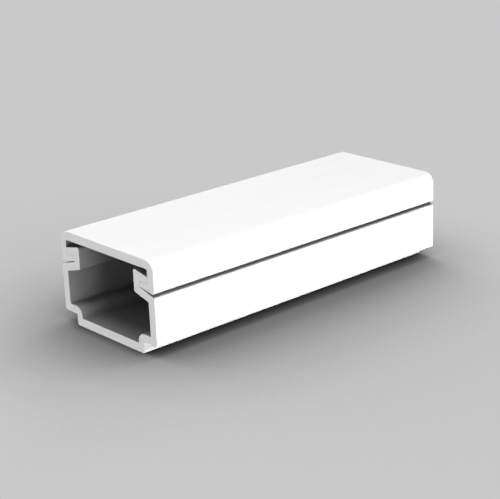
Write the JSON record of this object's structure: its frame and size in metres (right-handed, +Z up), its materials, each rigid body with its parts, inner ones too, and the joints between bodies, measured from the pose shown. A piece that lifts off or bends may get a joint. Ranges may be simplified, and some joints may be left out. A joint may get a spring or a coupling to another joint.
{
  "type": "cable trunking",
  "caption": "Short length of white mini cable trunking: a channel with a recessed foot and barbed snap rails, closed by a hooked lid that slides lengthwise.",
  "frame": {"origin": "middle of the foot's underside, half way along the cut length", "axes": "+Y runs along the trunking, +X across its width, +Z up from the foot to the lid"},
  "size_m": [0.015, 0.04, 0.0099],
  "materials": {
    "white_pvc": "smooth satin extruded plastic with plain sawn ends"
  },
  "bodies": {
    "base": {"base": "white_pvc"},
    "lid": {"lid": "white_pvc"}
  },
  "joints": [
    {"name": "lid_slide", "type": "slide", "parent": "base", "child": "lid", "axis": [0, 1, 0], "range_m": [-0.0419, 0.0419]}
  ]
}
